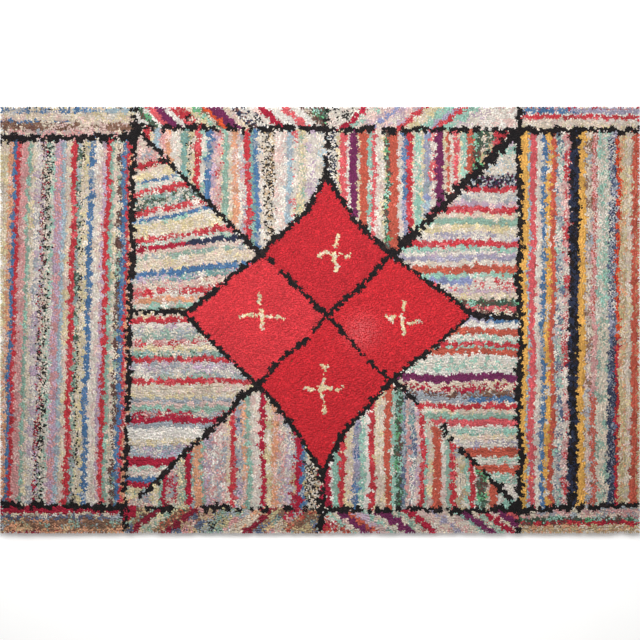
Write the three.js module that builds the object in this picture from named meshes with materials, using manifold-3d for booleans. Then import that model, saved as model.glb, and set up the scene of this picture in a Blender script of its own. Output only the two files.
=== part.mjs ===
// Hooked rug: one flat cloth of clipped rag pile, hooked in close rows through a foundation.
// A star of four quarters stands in a square of striped fields, with a striped panel on each side.
// Millimetres, +Z up. X runs along the long side and Y along the short side.
// The origin is on the floor under the middle of the rug.

import * as THREE from 'three';
import { mergeVertices } from 'three/addons/utils/BufferGeometryUtils.js';
import Module from 'manifold-3d';

// Driving dimensions
const WIDTH = 914; // along X, over the locks at the rim
const DEPTH = 610; // along Y, over the locks at the rim
const THICKNESS = 14; // floor to the highest pile
const ROW_PITCH = 6.4; // one hooked row to the next
const RIDGE_PITCH = 2 * ROW_PITCH; // two rows lean together and stand as one ridge
const RIDGE_RELIEF = 2; // crest of a ridge above the grooves beside it
const SWELL_PITCH = 50; // slow swells in pile that is clipped even
const LOCK_REACH = 5; // how far the longest rim lock leans out past the foundation
const LOCK_PITCH = 2 * ROW_PITCH; // along the rim
const OUTLINE_WIDTH = 9; // the single dark row that parts two fields, with its grooves

// Sizes that follow from them
const UNEVEN = 0.09 * THICKNESS; // how far pile of uneven length falls short of the highest
const CREST = THICKNESS - UNEVEN; // height of a ridge where the rug is level
const FURROW = 0.64 * THICKNESS; // floor of the furrow that parts two fields
const OUTLINE_CREST = 0.78 * THICKNESS; // the dark rows are pressed lower than the fields
const BED = 0.4 * THICKNESS; // how deep a field's pile reaches into the solid body below it
const STEP = 150; // spacing of the sections along a ridge
const SIDE = { x: WIDTH / 2 - LOCK_REACH, y: DEPTH / 2 - LOCK_REACH }; // edge of the foundation
const RIM_SETBACK = 3; // the outermost pile stands in from that edge and leans over it
const CORNER_RADIUS = 8;
const LUMP_SPAN = 45; // how far apart the pile's slow rises and falls are
const LOCK = { radius: 4.4, flattening: 1.5, root: 4, height: 3.8, shortest: 0.5, sway: 0.25, droop: 0.15 };
const LOCK_SIDES = 3;
const GOLDEN_ANGLE = Math.PI * (3 - Math.sqrt(5)); // keeps the locks' lengths from repeating

// Corners of the design, hand drawn and so a little out of true
const rim = { x: SIDE.x - RIM_SETBACK + OUTLINE_WIDTH / 2, y: SIDE.y - RIM_SETBACK + OUTLINE_WIDTH / 2 };
const at = {
  rimTopLeft: [-rim.x, rim.y],
  rimTopRight: [rim.x, rim.y],
  rimBottomRight: [rim.x, -rim.y],
  rimBottomLeft: [-rim.x, -rim.y],
  squareTopLeft: [-266, 275],
  squareTopRight: [285, 271],
  squareBottomRight: [285, -272],
  squareBottomLeft: [-279, -268],
  squareTopMiddle: [10, 273],
  squareRight: [286, 4],
  squareBottomMiddle: [1, -271],
  squareLeft: [-271, 13],
  rimOverLeftLine: [-265, rim.y],
  rimTopMiddle: [10, rim.y],
  rimOverRightLine: [285, rim.y],
  rimUnderLeftLine: [-280, -rim.y],
  rimBottomMiddle: [0, -rim.y],
  rimUnderRightLine: [285, -rim.y],
  rimLeftUpper: [-rim.x, 259],
  leftLineUpper: [-266, 262],
  rimLeftLower: [-rim.x, -264],
  rimRightUpper: [rim.x, 271],
  rimRightLower: [rim.x, -264],
  starTop: [10, 206],
  starRight: [218, 7],
  starBottom: [4, -219],
  starLeft: [-193, 9],
  waistUpperLeft: [-85, 95],
  waistUpperRight: [103, 93],
  waistLowerRight: [101, -87],
  waistLowerLeft: [-90, -92],
  starCentre: [11, 4],
  tipTopLeft: [-19, 156],
  tipTopRight: [43, 150],
  tipBottomLeft: [-34, -158],
  tipBottomRight: [34, -161],
};

// Fields of pile: the way their rows run, in degrees from +X, and their corners, clockwise.
// The quarters of the star are clipped even, so that no single rows show.
const fields = [
  { rows: 90, corners: ['rimLeftUpper', 'leftLineUpper', 'squareBottomLeft', 'rimLeftLower'] },
  { rows: 90, corners: ['squareTopRight', 'rimRightUpper', 'rimRightLower', 'squareBottomRight'] },
  { rows: 0, corners: ['rimTopLeft', 'rimOverLeftLine', 'leftLineUpper', 'rimLeftUpper'] },
  { rows: 0, corners: ['rimOverRightLine', 'rimTopRight', 'rimRightUpper', 'squareTopRight'] },
  { rows: 0, corners: ['rimLeftLower', 'squareBottomLeft', 'rimUnderLeftLine', 'rimBottomLeft'] },
  { rows: 0, corners: ['squareBottomRight', 'rimRightLower', 'rimBottomRight', 'rimUnderRightLine'] },
  { rows: -45, corners: ['rimOverLeftLine', 'rimTopMiddle', 'squareTopMiddle', 'squareTopLeft'] },
  { rows: 45, corners: ['rimTopMiddle', 'rimOverRightLine', 'squareTopRight', 'squareTopMiddle'] },
  { rows: 45, corners: ['squareBottomLeft', 'squareBottomMiddle', 'rimBottomMiddle', 'rimUnderLeftLine'] },
  { rows: -45, corners: ['squareBottomMiddle', 'squareBottomRight', 'rimUnderRightLine', 'rimBottomMiddle'] },
  { rows: 90, corners: ['squareTopLeft', 'squareTopMiddle', 'starTop', 'tipTopLeft', 'waistUpperLeft'] },
  { rows: 90, corners: ['squareTopMiddle', 'squareTopRight', 'waistUpperRight', 'tipTopRight', 'starTop'] },
  { rows: 0, corners: ['squareTopRight', 'squareRight', 'starRight', 'waistUpperRight'] },
  { rows: 0, corners: ['squareRight', 'squareBottomRight', 'waistLowerRight', 'starRight'] },
  {
    rows: 90,
    corners: ['squareBottomRight', 'squareBottomMiddle', 'starBottom', 'tipBottomRight', 'waistLowerRight'],
  },
  {
    rows: 90,
    corners: ['squareBottomMiddle', 'squareBottomLeft', 'waistLowerLeft', 'tipBottomLeft', 'starBottom'],
  },
  { rows: 0, corners: ['squareBottomLeft', 'squareLeft', 'starLeft', 'waistLowerLeft'] },
  { rows: 8, corners: ['squareLeft', 'squareTopLeft', 'waistUpperLeft', 'starLeft'] },
  {
    rows: 0,
    even: true,
    corners: ['starTop', 'tipTopRight', 'waistUpperRight', 'starCentre', 'waistUpperLeft', 'tipTopLeft'],
  },
  { rows: 90, even: true, corners: ['waistUpperRight', 'starRight', 'waistLowerRight', 'starCentre'] },
  {
    rows: 0,
    even: true,
    corners: [
      'starCentre', 'waistLowerRight', 'tipBottomRight', 'starBottom', 'tipBottomLeft', 'waistLowerLeft',
    ],
  },
  { rows: 90, even: true, corners: ['waistUpperLeft', 'starCentre', 'waistLowerLeft', 'starLeft'] },
];

// Dark rows that outline the fields, each as the corners that it runs through
const outlines = [
  ['rimOverLeftLine', 'squareTopLeft', 'leftLineUpper', 'squareLeft'],
  ['squareLeft', 'squareBottomLeft', 'rimUnderLeftLine'],
  ['rimOverRightLine', 'squareTopRight', 'squareRight', 'squareBottomRight', 'rimUnderRightLine'],
  ['squareTopLeft', 'squareTopMiddle', 'squareTopRight', 'rimRightUpper'],
  ['squareBottomLeft', 'squareBottomMiddle', 'squareBottomRight', 'rimRightLower'],
  ['rimLeftUpper', 'leftLineUpper'],
  ['rimLeftLower', 'squareBottomLeft'],
  ['squareTopLeft', 'waistUpperLeft', 'starCentre', 'waistLowerRight', 'squareBottomRight'],
  ['squareTopRight', 'waistUpperRight', 'starCentre', 'waistLowerLeft', 'squareBottomLeft'],
  ['starTop', 'tipTopRight', 'waistUpperRight', 'starRight', 'waistLowerRight', 'tipBottomRight', 'starBottom'],
  ['starBottom', 'tipBottomLeft', 'waistLowerLeft', 'starLeft', 'waistUpperLeft', 'tipTopLeft', 'starTop'],
  ['rimTopMiddle', 'squareTopMiddle', 'starTop'],
  ['starBottom', 'squareBottomMiddle', 'rimBottomMiddle'],
  ['squareLeft', 'starLeft'],
  ['starRight', 'squareRight'],
];

const wasm = await Module();
wasm.setup();

// A closed three.js geometry as a solid that can be joined and cut
function toSolid(geometry) {
  const bare = geometry.clone();
  bare.deleteAttribute('normal');
  bare.deleteAttribute('uv');
  const merged = mergeVertices(bare);
  return new wasm.Manifold(
    new wasm.Mesh({
      numProp: 3,
      vertProperties: merged.getAttribute('position').array,
      triVerts: new Uint32Array(merged.index.array),
    }),
  );
}

// A joined solid as a three.js geometry
function toGeometry(solid) {
  const mesh = solid.getMesh();
  const geometry = new THREE.BufferGeometry();
  geometry.setAttribute('position', new THREE.BufferAttribute(new Float32Array(mesh.vertProperties), 3));
  geometry.setIndex(new THREE.BufferAttribute(new Uint32Array(mesh.triVerts), 1));
  geometry.computeVertexNormals();
  return geometry;
}

const joined = (solids) => solids.reduce((whole, solid) => whole.add(solid));

const corner = (name) => new THREE.Vector2(...at[name]);

// A repeatable value from 0 to 1 for each number, which stands in for the hand's unevenness
function uneven(number) {
  const wave = Math.sin(number * 12.9898 + 4.1414) * 43758.5453;
  return wave - Math.floor(wave);
}

// Slow rise and fall of the pile over the rug, from -1 to 1
function lump(x, y) {
  const slow = Math.sin(x / LUMP_SPAN) * Math.cos(y / LUMP_SPAN);
  const quick = Math.sin((x + 2 * y) / LUMP_SPAN) * Math.cos((2 * x - y) / LUMP_SPAN);
  return (slow + quick) / 2;
}

// An outline moved in by a margin on every side. Its corners run clockwise.
function inset(corners, margin) {
  const edges = corners.map((from, i) => {
    const to = corners[(i + 1) % corners.length];
    const along = to.clone().sub(from).normalize();
    const inward = new THREE.Vector2(along.y, -along.x);
    return { along, start: from.clone().addScaledVector(inward, margin) };
  });
  return edges.map((edge, i) => {
    const before = edges[(i + edges.length - 1) % edges.length];
    const between = edge.start.clone().sub(before.start);
    const reach = between.cross(edge.along) / before.along.cross(edge.along);
    return before.start.clone().addScaledVector(before.along, reach);
  });
}

// An upright prism over a flat outline
function prism(corners, bottom, top) {
  const geometry = new THREE.ExtrudeGeometry(new THREE.Shape(corners), {
    depth: top - bottom,
    bevelEnabled: false,
  });
  return toSolid(geometry.translate(0, 0, bottom));
}

// Section across a field's rows: a crest for each ridge and a groove between each two
function ridgeSection(from, to, pitch, relief, seed) {
  const groove = CREST - UNEVEN - relief;
  const section = [new THREE.Vector2(from, BED)];
  const count = Math.ceil((to - from) / pitch);
  for (let ridge = 0; ridge < count; ridge++) {
    const start = from + ridge * pitch;
    const crest = CREST - UNEVEN * uneven(seed + ridge);
    section.push(new THREE.Vector2(start, groove), new THREE.Vector2(start + pitch / 2, crest));
  }
  const end = from + count * pitch;
  section.push(new THREE.Vector2(end, groove), new THREE.Vector2(end, BED));
  return section;
}

// One field of pile: its ridges, lumpy along their length, cut to the field's outline
function pile({ rows, even, corners }, number) {
  const outline = inset(corners.map(corner), OUTLINE_WIDTH / 2);
  const turn = THREE.MathUtils.degToRad(rows);
  const level = outline.map((point) => point.clone().rotateAround(new THREE.Vector2(), -turn));
  const box = new THREE.Box2().setFromPoints(level).expandByScalar(RIDGE_PITCH);
  const [pitch, relief] = even ? [SWELL_PITCH, 0] : [RIDGE_PITCH, RIDGE_RELIEF];
  const section = ridgeSection(box.min.y, box.max.y, pitch, relief, number * fields.length);
  const length = box.max.x - box.min.x;
  const geometry = new THREE.ExtrudeGeometry(new THREE.Shape(section), {
    depth: length,
    steps: Math.ceil(length / STEP),
    bevelEnabled: false,
  });
  geometry.rotateX(Math.PI / 2).rotateZ(Math.PI / 2).translate(box.min.x, 0, 0).rotateZ(turn);
  const position = geometry.getAttribute('position');
  for (let i = 0; i < position.count; i++) {
    const [x, y, z] = [position.getX(i), position.getY(i), position.getZ(i)];
    position.setZ(i, z > FURROW ? z + UNEVEN * lump(x, y) : z);
  }
  return toSolid(geometry).intersect(prism(outline, 0, 2 * THICKNESS));
}

// One straight run of a dark row, lying in its furrow
function outlineRun(from, to) {
  const [start, end] = [corner(from), corner(to)];
  const half = OUTLINE_WIDTH / 3;
  const section = new THREE.Shape([
    new THREE.Vector2(-half, BED),
    new THREE.Vector2(half, BED),
    new THREE.Vector2(half, FURROW),
    new THREE.Vector2(0, OUTLINE_CREST),
    new THREE.Vector2(-half, FURROW),
  ]);
  const run = end.clone().sub(start);
  const geometry = new THREE.ExtrudeGeometry(section, { depth: run.length(), bevelEnabled: false });
  geometry.rotateX(Math.PI / 2).rotateZ(Math.PI / 2).rotateZ(run.angle());
  return toSolid(geometry.translate(start.x, start.y, 0));
}

// The foundation and the packed roots of the pile, with rounded corners
function body() {
  const [x, y] = [SIDE.x - CORNER_RADIUS, SIDE.y - CORNER_RADIUS];
  const outline = new THREE.Shape();
  outline.absarc(x, y, CORNER_RADIUS, 0, Math.PI / 2);
  outline.absarc(-x, y, CORNER_RADIUS, Math.PI / 2, Math.PI);
  outline.absarc(-x, -y, CORNER_RADIUS, Math.PI, 1.5 * Math.PI);
  outline.absarc(x, -y, CORNER_RADIUS, 1.5 * Math.PI, 2 * Math.PI);
  const arcSteps = 5;
  return prism(outline.getPoints(arcSteps), 0, FURROW);
}

// A lock of pile that leans out over the rim: a three-sided tuft with its root in the body
function lock(place, outward, seed) {
  const share = (1 + Math.cos(GOLDEN_ANGLE * seed)) / 2;
  const length = LOCK.root + LOCK_REACH * THREE.MathUtils.lerp(LOCK.shortest, 1, share);
  const sway = LOCK.sway * (2 * uneven(seed) - 1);
  const droop = -LOCK.droop * uneven(-seed);
  const tuft = new THREE.ConeGeometry(LOCK.radius, length, LOCK_SIDES, 1);
  tuft.scale(LOCK.flattening, 1, 1).translate(0, length / 2 - LOCK.root, 0);
  tuft.applyMatrix4(new THREE.Matrix4().makeShear(0, 0, sway, droop, 0, 0));
  tuft.rotateZ(outward - Math.PI / 2);
  return toSolid(tuft.translate(place.x, place.y, LOCK.height));
}

// Locks along the four edges, each edge with one more on the rounded corner at its end
function locks() {
  const edges = [
    { outward: 0, half: SIDE.y, away: SIDE.x },
    { outward: Math.PI / 2, half: SIDE.x, away: SIDE.y },
    { outward: Math.PI, half: SIDE.y, away: SIDE.x },
    { outward: 1.5 * Math.PI, half: SIDE.x, away: SIDE.y },
  ];
  const middle = new THREE.Vector2();
  return edges.flatMap(({ outward, half, away }, edge) => {
    const run = half - CORNER_RADIUS;
    const count = Math.floor((2 * run) / LOCK_PITCH);
    const along = Array.from({ length: count + 1 }, (_, i) => {
      const place = new THREE.Vector2(away, THREE.MathUtils.lerp(-run, run, i / count));
      return lock(place.rotateAround(middle, outward), outward, edge + i);
    });
    const bend = new THREE.Vector2(away - CORNER_RADIUS, run);
    bend.addScalar(CORNER_RADIUS * Math.SQRT1_2);
    return [...along, lock(bend.rotateAround(middle, outward), outward + Math.PI / 4, edge)];
  });
}

function hookedRug() {
  const darkRows = outlines.flatMap((line) => line.slice(1).map((to, i) => outlineRun(line[i], to)));
  const rimCorners = ['rimTopLeft', 'rimTopRight', 'rimBottomRight', 'rimBottomLeft'].map(corner);
  const withinRim = prism(inset(rimCorners, OUTLINE_WIDTH / 2), 0, THICKNESS);
  const top = joined([...fields.map(pile), joined(darkRows).intersect(withinRim)]);
  return joined([body().add(top), ...locks()]);
}

const rug = new THREE.Mesh(
  toGeometry(hookedRug()),
  new THREE.MeshStandardMaterial({ color: '#a67f7a', roughness: 0.95, metalness: 0 }),
);
rug.name = 'rug';

const group = new THREE.Group();
group.add(rug);

export default group;
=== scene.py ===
# Hooked rug with a clipped rag pile: a star of four quarters in a square of striped fields.
# Sizes are millimetres until a mesh is made. X runs along the long side, Y along the short side.

import math

import bpy
import numpy as np
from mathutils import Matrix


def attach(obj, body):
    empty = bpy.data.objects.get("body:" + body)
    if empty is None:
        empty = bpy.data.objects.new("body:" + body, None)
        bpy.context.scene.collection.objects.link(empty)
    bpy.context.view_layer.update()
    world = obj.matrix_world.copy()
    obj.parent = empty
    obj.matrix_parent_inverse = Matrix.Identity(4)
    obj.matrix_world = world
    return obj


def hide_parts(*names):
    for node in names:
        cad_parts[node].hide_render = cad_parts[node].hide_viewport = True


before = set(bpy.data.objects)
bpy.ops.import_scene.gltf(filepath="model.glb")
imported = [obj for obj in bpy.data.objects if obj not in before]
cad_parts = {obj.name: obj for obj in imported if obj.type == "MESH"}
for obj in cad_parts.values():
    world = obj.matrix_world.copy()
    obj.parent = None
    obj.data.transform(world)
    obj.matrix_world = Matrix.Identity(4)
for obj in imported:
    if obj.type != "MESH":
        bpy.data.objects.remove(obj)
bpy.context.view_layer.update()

MM = 0.001  # metres in a millimetre
RANDOM = np.random.default_rng(1874)

# Sizes of the rug
HALF_WIDTH, HALF_DEPTH = 457, 305  # over the longest locks at the rim
LOCK_REACH = 3  # how far the longest lock leans out past the foundation
LOCK_LENGTHS = (0.5, 1.15)  # shares of that reach, before the locks are cut to the full size
LOCK_DROOP = 0.04  # fall of a lock for each square millimetre of its lean
SIDE = np.array([HALF_WIDTH - LOCK_REACH, HALF_DEPTH - LOCK_REACH])  # edge of the foundation
PILE_TOP = 13.3  # floor to the highest pile
FOUNDATION_TOP, FOUNDATION_BACK, HEM_BACK = 2.0, 1.0, 0.35
HEM = 25  # width that is turned under along each edge
FOLD = 1  # width of the step from the hem to the single cloth
CLOTH_SETBACK = 2.5  # from the outermost roots in to the folded edge of the cloth
CLOTH_GRID, CLOTH_WAVE = (34, 22), 0.12  # points across the single cloth, and how far it waves

# Hooked rows
ROW_PITCH = 6.4  # one hooked row to the next
LONGEST_ROW = 560  # half of it, over the longest diagonal
SHORTEST_ROW = 0.5  # rows shorter than this at a corner are left out
ROW_CATCH = 0.45  # share of its width, to each side, where the ends of a row are looked for
STEEP = 0.8  # rows that climb more than this are charted from their tops
MARK_STEPS = (0.5, 1.5)  # range of the steps from one tuft or lock to the next
TUFT = 13.0  # length of a tuft, where a strip of rag spreads between two pinches of its row
TUFT_SWELL, FULLEST_TUFT = 1.6, 1.6  # how far a tuft pushes into the next row, and the fullest one
TUFT_MIDDLE, TUFT_PINCH = 0.75, 2.2  # it swells at its middle and draws in at its pinches
TUFT_FAN = 0.7  # how far its strands fan out along the row, beside how far they do across it
TOOTH, TOOTH_DEPTH = 3.6, 1.6  # one lock's push into the row beside it
TURN_CHANCE, TURNS = 0.8, (0.2, 1.4)  # how often a crooked row turns to its other side, and how far
SWAY_SPAN, SWAY_SPREAD, SWAY_WAVES = 15, 0.4, 9  # sways of a row, there and back
SWAY = 2.4  # and how far it sways
DRIFT_SPAN, DRIFT = 75, 2.5  # how far the hand strays from the drawn lines, slowly
RIPPLE_SPAN, RIPPLE = 30, 1.2  # and from one inch to the next
CALM_RIM = 14  # the rows settle to a straight edge over this width
PLAIN_UNEVEN = 0.3  # unevenness of rows in the plain quarters of the star
ROOT_STEP = 6  # length of one straight stretch of a row's packed roots
ROOT_SETBACK = 1  # from the edge of the foundation in to the middle of a row
ROOT_UNEVEN = 0.25  # how unevenly the roots rise
ROOT_SECTION = np.array([(-0.3, 0.1), (0.3, 0.1), (0.56, 9.2), (-0.56, 9.2)])  # share of the width, height

# Dark rows and crosses over the fields
LINE_STRAND_AREA = 3.5  # strands stand closer here
LINE_PROUD = 0.5  # and their roots hide those of the rows under them
LINE_KNOT, CROSS_KNOT = 5.5, 4  # length of one lump of a row
LINE_LUMPS = (0.35, 1.6)  # range of its width
LINE_STRAY = 0.26  # how far it strays, as a share of the width of the row
LINE_END = 1  # how far a row goes on past its corners
LEAST_HALF = 1  # half width of the smallest lump that has packed roots
UNBROKEN, MOSTLY_SHOWN = 0.97, 0.75  # rows that show this much have no gaps, or short ones
SHORT_GAP_END, LONG_GAP_END = 0.85, 0.4  # chance that a gap ends at the next lump

# Clipped strands
STRAND_AREA = 5.7  # square millimetres of the rug for each clipped end
GOLDEN, PLACE_JITTER = 0.618034, 0.1  # step that spreads places evenly, and how far they miss it
STRAND_SIDES = 4
STRAND_RADIUS, THICKNESSES = 1.25, (0.8, 1.25)  # of a common strand, and the range
STRAND_STRETCH = 1.55  # a strand is longer than wide where it lies over
PLAIN_STRETCH = 1.4  # and less so in the plain quarters of the star
STRAND_TURN = 0.3  # how unevenly the strands of a tuft turn
ROOT_HEIGHT = 6.0
BULGE = np.array([0.6, 0.6, 0.74])  # where a strand is thickest, as shares of its lean and its height
LEAN, LEANS = 1.2, (-0.3, 1)  # how far a strand leans out from the middle of its tuft
UNEVEN_CLIP = 1.4  # how far the shears leave some ends below the others
LUMP_SPAN, LUMP = 50, 0.7  # slow rise and fall of the pile
CROWN = 0.7  # how far the sides of a row lie below its middle
LIFT, PLAIN_LIFT = 0.4, 0.1  # how unevenly whole loops stand
LIFT_LEFT = 0.6  # share of that which the shears leave
DARK_PROUD = 0.3  # the black rags are stiffer and stand higher

# Dye and wear, and painted shade and highlight
DULLED = 0.82  # how bright an old rag still is beside the same rag when new
CLUMPED_SHARE, MIXED_SHARE, TWEED_SHARE = 0.2, 0.35, 1  # strands that are dyed apart from their loop
SHADE, PLAIN_SHADE = 0.09, 0.02  # how unevenly whole loops took the dye
STRAND_SHADE, STRAND_TINT = 0.12, 0.025  # and single strands, in depth and in colour
FADE_SPAN, FADE = 130, 0.03  # slow change of the dye over the rug
DARKEST = 0.4  # lowest brightness of a strand beside that of its dye
PAINTED_ROW_EDGE_SHADE = 0.13  # painted shade: the sides of a row are painted this much darker than its middle, as in the grooves between rows
PAINTED_FALLOFF = 0.05  # painted shade: the lower side and the two ends are painted duller than the middle, as where the light falls off
PAINTED_BED_SHADE, PAINTED_ROOT_SHADE = 0.85, 0.65  # painted shade: the beds between the strands and the roots of the strands are painted darker than the tips, where shade falls deep in the pile
# painted shade and highlight: a strand is painted a little darker at its swelling and lighter at its tip
PAINTED_RING_SHADE, PAINTED_TIP_HIGHLIGHT = 0.98, 1.06
WORN_PLACE, WORN_RADIUS = (59, -16), 22  # rubbed patch in the right quarter of the star
WORN_SHARE, WORN_COLOUR = 0.2, "#EDA0A2"  # how far it has gone pale

# Corners of the design, hand drawn and so a little out of true
RIM_X, RIM_Y = 456, 304
CORNERS = dict(
    rim_top_left=(-RIM_X, RIM_Y),
    rim_top_right=(RIM_X, RIM_Y),
    rim_bottom_right=(RIM_X, -RIM_Y),
    rim_bottom_left=(-RIM_X, -RIM_Y),
    square_top_left=(-266, 275),
    square_top_right=(285, 271),
    square_bottom_right=(285, -272),
    square_bottom_left=(-279, -268),
    square_top=(10, 273),
    square_right=(286, 4),
    square_bottom=(1, -271),
    square_left=(-271, 13),
    rim_over_left=(-265, RIM_Y),
    rim_top=(10, RIM_Y),
    rim_over_right=(285, RIM_Y),
    rim_under_left=(-280, -RIM_Y),
    rim_bottom=(0, -RIM_Y),
    rim_under_right=(285, -RIM_Y),
    rim_left_upper=(-RIM_X, 259),
    left_line_upper=(-266, 262),
    rim_left_lower=(-RIM_X, -264),
    rim_right_upper=(RIM_X, 271),
    rim_right_lower=(RIM_X, -264),
    star_top=(10, 206),
    star_right=(218, 7),
    star_bottom=(4, -219),
    star_left=(-193, 9),
    waist_upper_left=(-85, 95),
    waist_upper_right=(103, 93),
    waist_lower_right=(101, -87),
    waist_lower_left=(-90, -92),
    star_centre=(11, 4),
    tip_top_left=(-19, 156),
    tip_top_right=(43, 150),
    tip_bottom_left=(-34, -158),
    tip_bottom_right=(34, -161),
    mitre_start=(142, -121),
    mitre_end=(174, -153),
    blot_start=(-282, 264),
    blot_end=(-260, 268),
    mitre_low=(-259, -253),
    upper_nick_start=(-67, 80),
    upper_nick_end=(-57, 71),
    right_nick_start=(64, -50),
    right_nick_end=(70, -56),
    left_nick_start=(-16, -23),
    left_nick_end=(-10, -17),
    patch_start=(-281, -276),
    patch_end=(-264, -277),
)

# Dyed rags, sorted in the bags that a maker would keep them in
YARNS = {
    "star_reds": {"scarlet": "#CE2D38", "poppy": "#DE3E47", "cherry": "#D62E38", "madder": "#D42C37"},
    "reds": {
        "red": "#CA3C46", "crimson": "#B82642", "claret": "#92243A", "rust": "#CC6450", "orange": "#E05C34",
        "coral": "#DE666C",
    },
    "pinks": {"rose": "#DCA2A0", "pink": "#E2C4BC", "peach": "#E4A884", "lilac": "#C8B0C4"},
    "golds": {"gold": "#EDB962", "butter": "#E2D2A8", "khaki": "#CEBE94", "tan": "#D0B48E"},
    "creams": {"cream": "#E2D3C0"},
    "ivories": {"ivory": "#E5DCD1", "white": "#EBE5DD"},
    "greens": {
        "mint": "#A0CABA", "sage": "#9AB6A6", "teal": "#84AEAA", "green": "#74BC88", "moss": "#4A5E4E",
    },
    "blues": {
        "sky": "#B0C5CE", "blue": "#567FAA", "bluegrey": "#AAB0B7", "periwinkle": "#969FC6",
        "lavender": "#B0AABE", "purple": "#7C2E5E",
    },
    "darks": {
        "navy": "#343B54", "slate": "#64708C", "brown": "#6E4C46", "walnut": "#8F6A57", "soot": "#2C2222",
        "black": "#191517",
    },
}
# Rags of strong red were cut narrow, and the palest ones stand fuller
FULLNESS = {"reds": 0.84, "blues": 0.92, "creams": 1.08, "ivories": 1.08}

# Rags that were printed, tweed or plied: their colours, with a count for one that comes more than once
MIXED_RAGS = """
    outline: black*4 soot
    cross: butter*2 cream
    red: red*4 coral
    redwhite: red*3 coral ivory
    blue: blue*5 bluegrey
    rose: rose*3 pink
    peach: peach*3 pink
    sky: sky*3 bluegrey
    sage: sage*3 mint
    teal: teal*3 sage
    mint: mint*3 ivory
    lilac: lilac*3 pink
    cream: cream*3 ivory pink butter
    ivory: ivory*3 cream white pink
    butter: butter*2 cream ivory
    goldmix: gold*4 ivory
    pinkcream: cream*2 pink*2 rose ivory
    pinkgrey: pink bluegrey cream rose
    ivorypink: white*2 ivory pink
    blush: ivory pink*2 lilac
    mintivory: mint ivory*2
    mintpink: mint pink ivory
    speckle: cream*2 butter black
    darkspeckle: black soot cream sage ivory cream
    mottle: crimson lilac soot pink bluegrey brown cream*2
    lilacpink: lilac*2 rose*2
    slategrey: bluegrey*2 slate lilac cream
    mintgrey: ivory*2 mint bluegrey pink slate
    creamtweed: cream*3 bluegrey pink walnut
    lavendergrey: lavender bluegrey*2 ivory slate
    navyslate: navy*4 slate
    peachkhaki: peach khaki*2 cream
    lilacgrey: lilac bluegrey ivory rose
    bluelilac: bluegrey lilac sky ivory
    sagegrey: sage teal bluegrey cream ivory moss
    sageivory: sage ivory bluegrey cream
    sagecream: sage cream*2
    sagetweed: sage*2 bluegrey cream moss
    sagepink: sage cream pink tan moss
    greylilac: bluegrey lilac ivory*2
    skyivory: sky ivory*2 cream
    pinkred: rose pink red ivory
    rosetweed: rose bluegrey cream crimson
    rosewhite: white rose pink bluegrey
    redblack: red*2 black cream
    redtweed: ivory*2 red pink
    crimsoncream: crimson cream
    crimsontweed: crimson cream bluegrey rose tan
    coralivory: coral ivory*3
    coralbrown: coral*2 brown cream
    darkmulti: black navy soot purple ivory bluegrey*2
    bwtweed: ivory*2 cream tan black soot
    blackivory: ivory*5 pink ivory black
    greentweed: moss*2 green mint brown
    greenmint: green mint*2 cream
    navytweed: navy brown white
    navyblack: black*2 soot navy*2
    navyivory: ivory*2 white navy black
    brownmix: brown walnut cream moss
    brownsage: brown*3 sage cream
    browngrey: brown walnut*2 bluegrey
    walnutmix: walnut*2 brown cream
    browncream: walnut*2 cream pink
    drabmix: walnut*4 moss peach rust tan
    rustpeach: peach rust walnut*2
    creamtan: cream tan*2 peach khaki
    redbrown: red*2 crimson brown
    slatedrab: slate*3 walnut bluegrey
    drabtan: walnut*5 tan sage peach bluegrey
    peachtan: peach*2 tan walnut
    bluecream: blue*2 bluegrey cream
    steelblue: bluegrey*2 slate*2 teal sky
    bluemix: periwinkle sky lavender bluegrey
    duskytan: tan*2 khaki sage slate walnut*2
    duskypink: rose*2 tan cream slate walnut*2
    tantweed: tan cream*2 ivory khaki bluegrey
    peachcream: peach cream*2
    yellowtweed: butter khaki bluegrey sage soot
    teallilac: teal lilac ivory
    lavenderivory: lavender ivory*2
    lilacivory: lilac ivory*3
    ivorygrey: ivory*2 bluegrey
    pinklilac: pink lilac
    peachpink: peach pink
    rustcream: rust*2 cream crimson white
    palegreen: sage butter cream
"""
# Mixed rags whose colours change from loop to loop, and not from strand to strand
CLUMPED_YARNS = """
    outline navyblack goldmix walnutmix browncream greentweed greenmint coralbrown brownmix brownsage
    rustcream duskytan duskypink navyslate
""".split()
# Tweeds, whose colours change with every strand
TWEEDS = "speckle darkspeckle mottle bwtweed navyivory navytweed darkmulti drabmix".split()
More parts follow.
